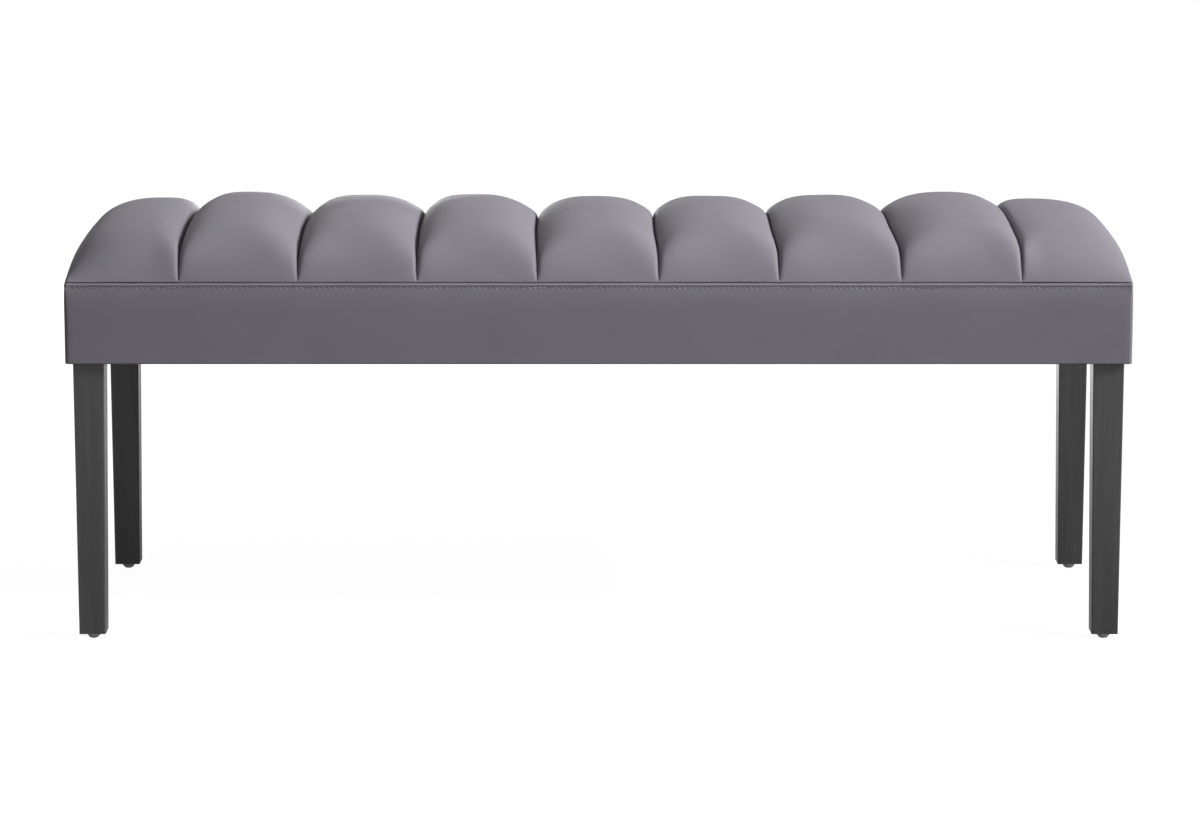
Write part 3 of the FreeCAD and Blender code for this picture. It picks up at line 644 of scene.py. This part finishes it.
def grid_faces(rows, columns):
    """Quads of a rectangular grid of points, row by row."""
    corner = np.arange(rows - 1)[:, None] * columns + np.arange(columns - 1)[None, :]
    corner = corner.reshape(-1)
    return np.stack([corner, corner + 1, corner + columns + 1, corner + columns], axis=1).tolist()


def blown_up(points):
    """Where a grid of hide ends up after the simulation, with its border held."""
    rows, columns = points.shape[:2]
    mesh = bpy.data.meshes.new("hide_trial")
    mesh.from_pydata(points.reshape(-1, 3).tolist(), [], grid_faces(rows, columns))
    trial = bpy.data.objects.new("hide_trial", mesh)
    scene.collection.objects.link(trial)
    border = np.zeros((rows, columns), dtype=bool)
    border[[0, -1], :] = True
    border[:, [0, -1]] = True
    pins = trial.vertex_groups.new(name="sewn")
    pins.add(np.nonzero(border.reshape(-1))[0].tolist(), 1.0, "REPLACE")
    cloth = trial.modifiers.new("hide", "CLOTH")
    cloth.settings.vertex_group_mass = "sewn"
    cloth.settings.use_pressure = True
    cloth.settings.uniform_pressure_force = CLOTH_PRESSURE
    cloth.settings.effector_weights.gravity = 0.0
    cloth.settings.mass = CLOTH_POINT_MASS
    cloth.settings.quality = CLOTH_QUALITY
    cloth.collision_settings.use_collision = False
    cloth.point_cache.frame_start = 1
    cloth.point_cache.frame_end = CLOTH_FRAMES
    for step in range(1, CLOTH_FRAMES + 1):
        scene.frame_set(step)
    settled = trial.evaluated_get(bpy.context.evaluated_depsgraph_get()).to_mesh()
    ends = np.empty(rows * columns * 3)
    settled.vertices.foreach_get("co", ends)
    scene.frame_set(1)
    bpy.data.objects.remove(trial)
    bpy.data.meshes.remove(mesh)
    return ends.reshape(points.shape)


def spread(values, old_places, new_places, axis):
    """Values on a coarse axis, carried to a fine one by straight interpolation."""
    return np.apply_along_axis(lambda line: np.interp(new_places, old_places, line), axis, values)


def filled_crown(index):
    """A channel's crown, shrunk a little between its seams by a half sine each way, and then moved by
    the simulation, with the movement smoothed by running means."""
    crown = channel_crown(index)
    rows = np.unique(np.linspace(0, OVER_STEPS - 1, CLOTH_ROWS).astype(int))
    even = np.linspace(-1, 1, CLOTH_COLUMNS)
    columns = np.unique(np.round(np.arccos(-even) / math.pi * (ACROSS_STEPS - 1)).astype(int))
    away_across = np.sin(np.linspace(0, math.pi, ACROSS_STEPS))[None, :]
    away = away_across * np.sin(np.linspace(0, math.pi, OVER_STEPS))[:, None]
    outward = np.cross(np.gradient(crown, axis=1), np.gradient(crown, axis=0))
    outward /= np.maximum(np.linalg.norm(outward, axis=2), NO_LENGTH)[:, :, None]
    start = crown - outward * (CLOTH_SHRINK * away)[:, :, None]
    coarse = start[rows][:, columns]
    move = blown_up(coarse) - coarse
    length = np.linalg.norm(move, axis=2)
    move *= np.minimum(1, CLOTH_MOVE_CAP / np.maximum(length, NO_LENGTH))[:, :, None]
    fine = spread(spread(move, rows, np.arange(OVER_STEPS), 0), columns, np.arange(ACROSS_STEPS), 1)
    for step in range(SMOOTH_PASSES):
        fine[1:-1] = (fine[:-2] + 2 * fine[1:-1] + fine[2:]) / 4
        fine[:, 1:-1] = (fine[:, :-2] + 2 * fine[:, 1:-1] + fine[:, 2:]) / 4
    return start + fine


def valley_distances(places, index):
    """The valleys beside a channel, each with the distances of places across the channel from it."""
    valleys = SEAM_PLACES[max(index, 1) : min(index + 2, CHANNELS)]
    return [(valley, np.abs(places - valley)) for valley in valleys]


def pressed(crown, depth, start):
    """The crown pressed in by a depth at each point, square to its front-to-back curve. The depth
    starts from nothing at the band and grows by an exponential of the height above it."""
    run = np.gradient(crown, axis=0)
    inwards = np.stack([np.zeros(crown.shape[:2]), run[:, :, 2], -run[:, :, 1]], axis=2)
    inwards /= np.linalg.norm(inwards, axis=2)[:, :, None]
    lift = crown[:, :, 2] - seam_top - EDGE_LIFT
    return crown + inwards * (depth * (1 - np.exp(-lift / start)))[:, :, None]


def puckered(crown, index):
    """Short puckers that fade away from the seams, as uneven sine waves along them, and a slower
    slackness of the hide across the whole channel, as the product of two slanting sine waves."""
    places = channel_lines(index)[0]
    along = np.cumsum(np.linalg.norm(np.diff(crown, axis=0, prepend=crown[:1]), axis=2), axis=0)
    slack_over = [along * rate for rate in SLACK_OVER_RATES]
    slack_across = [places[None, :] * rate for rate in SLACK_ACROSS_RATES]
    depth = SLACK_DEPTH * np.sin(slack_over[0] + slack_across[0] + index)
    depth = depth * np.sin(slack_over[1] + slack_across[1])
    for valley, distances in valley_distances(places, index):
        near = np.exp(-distances / PUCKER_REACH) * (1 - np.exp(-distances / CREASE_WIDTH))
        drift = PUCKER_DRIFT * np.sin(along * PUCKER_DRIFT_RATE + valley * PUCKER_DRIFT_SHIFT)
        phase = 2 * math.pi * along / PUCKER_SPACING + drift + PUCKER_SHIFT * valley
        depth = depth + PUCKER_DEPTH * np.sin(phase) * near[None, :]
    return pressed(crown, depth, PUCKER_REACH)


def creased(crown, index):
    """The crown pressed in along its seams by a crease that dies away within a few millimetres."""
    places = channel_lines(index)[0]
    depth = np.zeros(len(places))
    for valley, distances in valley_distances(places, index):
        depth += CREASE_DEPTH * np.exp(-distances / CREASE_WIDTH)
    return pressed(crown, depth[None, :], CREASE_START)


def closed_channel(index):
    """The crown's rings closed by a base: its edge is tucked in at the band's seam, and inside the
    plan of the base foam the base steps up to lie on the foam."""
    crown = creased(puckered(filled_crown(index), index), index)
    tuck = crown[[0, -1]].copy()
    tuck[:, :, 1] *= 1 - EDGE_TUCK / band_half_y
    tuck[:, :, 2] = seam_top - EDGE_SINK
    crown = np.concatenate([tuck[:1], crown, tuck[1:]])
    edge = band_half_x - foam_half.x + PAD_CLEARANCE
    base = crown[:, [-1, -1, 0, 0], :].copy()
    base[:, 0, 0] -= EDGE_TUCK if index == CHANNELS - 1 else 0
    base[:, 3, 0] += EDGE_TUCK if index == 0 else 0
    base[:, 1, 0] -= edge
    base[:, 2, 0] += edge
    on_foam = (np.abs(base[:, :, 0]) < foam_half.x) & (np.abs(base[:, :, 1]) < foam_half.y)
    base[:, :, 2] = np.where(on_foam, foam_high.z + PAD_CLEARANCE, seam_top - 2 * EDGE_SINK)
    return np.concatenate([crown, base], axis=1)


for index in range(CHANNELS):
    number = index + 1
    rings = closed_channel(index)
    channel = new_piece(f"channel_{number}", rings, ring_faces(rings.shape[0], rings.shape[1]), cover_hide)
    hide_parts(f"channel_pad_{number}", f"channel_cover_{number}")

# Topstitching: a lockstitch of heavier polyester thread in a slightly lighter grey, along the band
# below its folded edge. Each stitch is a short length that dives into the hide at both ends.
STITCH_PITCH = 0.0062
STITCH_LENGTH = 0.0047
STITCH_RADIUS = 0.00050
STITCH_SLANT = -0.0022
STITCH_ARCH = 1.7
STITCH_BURY = 0.9
STITCH_TIP = 0.55
STITCH_RINGS = 7
STITCH_SIDES = 6
THREAD_COLOUR = srgb(152, 150, 156)
THREAD_SHADE = srgb(128, 126, 132)
THREAD_TWIST = {"Scale": 2500.0, "Detail": 1.0}
THREAD_ROUGHNESS = 0.6


def stitch_points(middles, alongs, outs):
    """One arched thread per place: slim rings along a cosine arch from one needle hole to the next."""
    share = np.linspace(-0.5, 0.5, STITCH_RINGS)
    arch = np.cos(share * math.pi)
    lift = STITCH_RADIUS * STITCH_ARCH * arch - STITCH_RADIUS * STITCH_BURY
    slim = STITCH_RADIUS * (STITCH_TIP + (1 - STITCH_TIP) * arch)
    up = np.array([0, 0, 1.0])
    centre = (
        middles[:, None, :]
        + alongs[:, None, :] * (share * STITCH_LENGTH)[None, :, None]
        + outs[:, None, :] * lift[None, :, None]
        + up * (share * STITCH_SLANT)[None, :, None]
    )
    spin = np.linspace(0, -2 * math.pi, STITCH_SIDES, endpoint=False)
    round_out = np.cos(spin)[None, None, :, None] * outs[:, None, None, :]
    round_up = np.sin(spin)[None, None, :, None] * up
    return centre[:, :, None, :] + slim[None, :, None, None] * (round_out + round_up)


def thread_material():
    """Spun polyester thread: soft grey with a faint twist."""
    material, tree, shader, where = start_material("stitch_thread")
    tint = blended(tree, noise(tree, where, **THREAD_TWIST), THREAD_SHADE, THREAD_COLOUR)
    fill_inputs(tree, shader, Base_Color=tint, Roughness=THREAD_ROUGHNESS)
    return material


stitch_count = int(path_lengths[-1] / STITCH_PITCH)
stitch_at = (np.arange(stitch_count) + 0.5) * path_lengths[-1] / stitch_count
stitch_x, stitch_y = (np.interp(stitch_at, path_lengths, line) for line in path_places.T)
out_x, out_y = (np.interp(stitch_at, path_lengths, line) for line in path_outwards.T)
stitch_outs = np.column_stack([out_x, out_y, np.zeros(stitch_count)])
stitch_outs /= np.linalg.norm(stitch_outs, axis=1)[:, None]
stitch_alongs = np.column_stack([-stitch_outs[:, 1], stitch_outs[:, 0], np.zeros(stitch_count)])
stitch_middles = np.column_stack([stitch_x, stitch_y, np.full(stitch_count, seam_top - STITCH_DROP)])
stitch_middles -= stitch_outs * (STITCH_DIP * end_pull(stitch_outs))
thread_rings = stitch_points(stitch_middles, stitch_alongs, stitch_outs)
one_thread = np.array(ring_faces(STITCH_RINGS, STITCH_SIDES)[:-2])
thread_ends = np.array(ring_faces(STITCH_RINGS, STITCH_SIDES)[-2:])
thread_faces = []
for first in range(0, stitch_count * STITCH_RINGS * STITCH_SIDES, STITCH_RINGS * STITCH_SIDES):
    thread_faces += (first + one_thread).tolist() + (first + thread_ends).tolist()
topstitch = new_piece("topstitch", thread_rings, thread_faces, thread_material())

# Legs: four square tapered legs of hardwood, stained black under a satin lacquer, grain upright.
# Each is screwed up into its corner post by a hanger bolt.
LEG_PALE = srgb(68, 67, 68)
LEG_DARK = srgb(54, 53, 54)
LEG_ROUGHNESS = 0.42
LEG_RELIEF = 0.12
LEG_COAT = 0.08
leg_wood = wood_material(
    "black_stained_wood", "z", LEG_PALE, LEG_DARK, LEG_ROUGHNESS, LEG_RELIEF, coat=LEG_COAT
)
dress([f"leg_{corner}" for corner in CORNERS], leg_wood)

# Glides: small moulded plastic domes that keep the legs off the floor, each held by one nail.
# They are pale grey, with a matt skin that is scuffed in small patches.
GLIDE_SHADE = srgb(236, 235, 233)
GLIDE_PALE = srgb(250, 249, 247)
GLIDE_SCUFFS = {"Scale": 500.0, "Detail": 4.0}
GLIDE_ROUGHNESS = (0.4, 0.7)
GLIDE_SUBSURFACE = 0.2
GLIDE_LIGHT_REACH = (0.004, 0.004, 0.004)


def glide_material():
    """Pale moulded plastic, scuffed in small patches."""
    material, tree, shader, where = start_material("glide_plastic")
    scuffs = noise(tree, where, **GLIDE_SCUFFS)
    fill_inputs(
        tree,
        shader,
        Base_Color=blended(tree, scuffs, GLIDE_SHADE, GLIDE_PALE),
        Roughness=ranged(tree, scuffs, result=GLIDE_ROUGHNESS),
        Subsurface_Weight=GLIDE_SUBSURFACE,
        Subsurface_Radius=GLIDE_LIGHT_REACH,
    )
    return material


dress([f"glide_{corner}" for corner in CORNERS], glide_material())

# Dust cover: a thin black spunbond cloth under the frame, notched round the legs, pulled fairly flat
# and stapled along the rails. It sags a few millimetres between the rails.
DUST_STEP = 0.01
DUST_THICKNESS = 0.0005
DUST_SAG = 0.004
DUST_SAG_POWER = 4
DUST_BILLOW = 0.25
DUST_BILLOW_RATES = (9.0, 15.0)
DUST_BILLOW_SHIFT = 0.6
NOTCH_CLEARANCE = 0.002
DUST_DARK = srgb(24, 24, 25)
DUST_PALE = srgb(44, 44, 46)
DUST_FIBRES = {"Scale": 600.0, "Detail": 5.0}
DUST_EMBOSS = 700.0
DUST_EMBOSS_RELIEF = 0.4
DUST_EMBOSS_DEPTH = 0.0003
DUST_ROUGHNESS = 0.9

dust_low, dust_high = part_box("dust_cover")
leg_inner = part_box("leg_back_right")[0]
notch_x = leg_inner.x - NOTCH_CLEARANCE
notch_y = leg_inner.y - NOTCH_CLEARANCE


def cloth_material():
    """Black spunbond: a flat felt of pressed fibres with a fine emboss."""
    material, tree, shader, where = start_material("spunbond_cloth")
    emboss = add_node(tree, "ShaderNodeTexVoronoi", Vector=where, Scale=DUST_EMBOSS)
    fill_inputs(
        tree,
        shader,
        Base_Color=blended(tree, noise(tree, where, **DUST_FIBRES), DUST_DARK, DUST_PALE),
        Roughness=DUST_ROUGHNESS,
        Normal=bumped(tree, emboss.outputs["Distance"], DUST_EMBOSS_RELIEF, DUST_EMBOSS_DEPTH),
    )
    return material


def with_stops(low, high, stops, step):
    """Evenly spaced places between stops, so that a grid line falls on each stop."""
    edges = [low, *stops, high]
    runs = [np.linspace(a, b, max(2, int((b - a) / step) + 1))[:-1] for a, b in zip(edges, edges[1:])]
    return np.concatenate(runs + [[high]])


# The sag is one minus a power of the place each way between the rails, with a slight billow of cosines.
dust_x = with_stops(dust_low.x, dust_high.x, [-notch_x, notch_x], DUST_STEP)
dust_y = with_stops(dust_low.y, dust_high.y, [-notch_y, notch_y], DUST_STEP)
grid_x, grid_y = np.meshgrid(dust_x, dust_y)
rail_inner = abs(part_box("left_rail")[1].x)
bay_x = np.clip(np.abs(grid_x) / rail_inner, 0, 1)
bay_y = np.clip(np.abs(grid_y) / notch_y, 0, 1)
sag = DUST_SAG * (1 - bay_x**DUST_SAG_POWER) * (1 - bay_y**DUST_SAG_POWER)
billow_x = np.cos(grid_x * DUST_BILLOW_RATES[0] + DUST_BILLOW_SHIFT)
sag *= 1 - DUST_BILLOW + DUST_BILLOW * billow_x * np.cos(grid_y * DUST_BILLOW_RATES[1])
dust_points = np.stack([grid_x, grid_y, dust_high.z - DUST_THICKNESS / 2 - sag], axis=2)
columns = len(dust_x)
cell = np.arange(len(dust_y) - 1)[:, None] * columns + np.arange(columns - 1)[None, :]
middle_x = np.abs(dust_x[:-1] + dust_x[1:]) / 2
middle_y = np.abs(dust_y[:-1] + dust_y[1:]) / 2
cell = cell[~((middle_x[None, :] > notch_x) & (middle_y[:, None] > notch_y))]
dust_faces = np.stack([cell, cell + columns, cell + columns + 1, cell + 1], axis=1)
used = np.unique(dust_faces)
renumber = np.zeros(columns * len(dust_y), dtype=int)
renumber[used] = np.arange(len(used))
dust_cloth = new_piece(
    "dust_cloth", dust_points.reshape(-1, 3)[used], renumber[dust_faces].tolist(), cloth_material()
)
thicken = dust_cloth.modifiers.new("cloth_thickness", "SOLIDIFY")
thicken.thickness = DUST_THICKNESS
thicken.offset = 0
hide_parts("dust_cover")

# Floor: a plain pale studio floor that keeps the bench's soft shadow. The camera, gloss and glass see
# it as white with painted shade near the bench: a little dimmer there for the camera and glass, and much
# dimmer for gloss, a painted shade in what the legs reflect. Its own grey is what it throws back on the
# bench.
FLOOR_HALF = 40.0
FLOOR_COLOUR = (0.20, 0.20, 0.20, 1)
# the glow's level near the bench for the camera and glass: a painted shade round the bench
NEAR_SHADE_GLOW = 0.94
NEAR_SHADE_REACH = (0.8, 2.0)
# the glow's level near the bench as gloss sees it: a painted shade in the legs' reflections
MIRROR_SHADE_GLOW = 0.18
MIRROR_SHADE_REACH = (0.55, 1.8)
WHITE = (1, 1, 1, 1)
floor_mesh = bpy.data.meshes.new("studio_floor")
floor_points = [(x * FLOOR_HALF, y * FLOOR_HALF, 0) for x, y in ((-1, -1), (1, -1), (1, 1), (-1, 1))]
floor_mesh.from_pydata(floor_points, [], [(0, 1, 2, 3)])
floor = bpy.data.objects.new("studio_floor", floor_mesh)
scene.collection.objects.link(floor)
floor_material = bpy.data.materials.new("studio_white")
floor_material.use_nodes = True
floor_tree = floor_material.node_tree
floor_tree.nodes.clear()
floor_out = floor_tree.nodes.new("ShaderNodeOutputMaterial")
rays = floor_tree.nodes.new("ShaderNodeLightPath").outputs
floor_where = floor_tree.nodes.new("ShaderNodeTexCoord")
reach = floor_tree.nodes.new("ShaderNodeVectorMath")
reach.operation = "LENGTH"
floor_tree.links.new(floor_where.outputs["Object"], reach.inputs[0])


def shaded_glow_part(rays_seen, span, level):
    """Strength of the floor's white for some kinds of ray: a lower level near the bench, painted shade, that
    rises to one.
    """
    ramp = ranged(floor_tree, reach.outputs["Value"], span, (level, 1))
    return maths(floor_tree, "MULTIPLY", rays_seen, ramp)


seen_through = maths(floor_tree, "MAXIMUM", rays["Is Camera Ray"], rays["Is Transmission Ray"])
# white for the camera and glass, with painted shade near the bench
seen_glow_painted_shade = shaded_glow_part(seen_through, NEAR_SHADE_REACH, NEAR_SHADE_GLOW)
# white for gloss, with a deep painted shade near the bench that shows in reflections
mirror_glow_painted_shade = shaded_glow_part(rays["Is Glossy Ray"], MIRROR_SHADE_REACH, MIRROR_SHADE_GLOW)
glow_strength = maths(floor_tree, "MAXIMUM", seen_glow_painted_shade, mirror_glow_painted_shade)
glow = add_node(floor_tree, "ShaderNodeEmission", Color=WHITE, Strength=glow_strength)
matt = add_node(floor_tree, "ShaderNodeBsdfDiffuse", Color=FLOOR_COLOUR)
both = floor_tree.nodes.new("ShaderNodeAddShader")
floor_tree.links.new(matt.outputs["BSDF"], both.inputs[0])
floor_tree.links.new(glow.outputs["Emission"], both.inputs[1])
floor_tree.links.new(both.outputs["Shader"], floor_out.inputs["Surface"])
floor_mesh.materials.append(floor_material)

# Light: a soft box high on the right, weak ones above, in front, on the left and behind, and a pale
# room. The room shows as white behind the bench and in gloss, and lights it at a lower level.
ROOM_LEVEL = 0.22
SEAT_MIDDLE = Vector((0, 0, 0.40))
KEY_AIM = Vector((-0.12, 0, 0.40))
KEY_SPREAD = math.radians(28)
world = bpy.data.worlds.new("studio_room")
scene.world = world
world.use_nodes = True
world_tree = world.node_tree
world_rays = world_tree.nodes.new("ShaderNodeLightPath").outputs
seen_rays = world_rays["Is Camera Ray"]
for kind in ("Is Glossy Ray", "Is Transmission Ray"):
    seen_rays = maths(world_tree, "MAXIMUM", seen_rays, world_rays[kind])
room_strength = ranged(world_tree, seen_rays, result=(ROOM_LEVEL, 1))
fill_inputs(world_tree, world_tree.nodes["Background"], Color=WHITE, Strength=room_strength)


def lamp(name, place, size, power, aim=SEAT_MIDDLE, spread=math.pi):
    """A square soft box aimed at the seat."""
    data = bpy.data.lights.new(name, "AREA")
    data.size = size
    data.energy = power
    data.spread = spread
    light = bpy.data.objects.new(name, data)
    light.location = place
    light.rotation_mode = "QUATERNION"
    light.rotation_quaternion = (aim - Vector(place)).to_track_quat("-Z", "Y")
    light.visible_camera = False
    scene.collection.objects.link(light)


lamp("key_light", place=(4.8, -1.65, 3.35), size=1.4, power=19.4, aim=KEY_AIM, spread=KEY_SPREAD)
lamp("top_light", place=(-0.2, -0.45, 1.77), size=0.8, power=0.3)
lamp("front_light", place=(0.30, -1.8, 1.00), size=0.8, power=3.2)
lamp("left_light", place=(-1.5, -0.9, 0.9), size=0.5, power=0.4)
lamp("back_light", place=(-0.4, 2.6, 0.24), size=0.4, power=34.0)

# Camera: a long lens in front of the bench, a little above it and tipped down to it, so that the band
# shows square on and the tops of the channels are just seen.
CAMERA_LENS = 123.8
CAMERA_SENSOR = 36.0
CAMERA_DISTANCE = 4.564
CAMERA_HEIGHT = 1.146
CAMERA_ASIDE = 0.0016
CAMERA_TILT = math.radians(10.9)
camera_data = bpy.data.cameras.new("camera")
camera_data.lens = CAMERA_LENS
camera_data.sensor_width = CAMERA_SENSOR
camera = bpy.data.objects.new("camera", camera_data)
camera.location = (CAMERA_ASIDE, -band_half_y - CAMERA_DISTANCE, CAMERA_HEIGHT)
camera.rotation_euler = (math.pi / 2 - CAMERA_TILT, 0, 0)
scene.collection.objects.link(camera)
scene.camera = camera
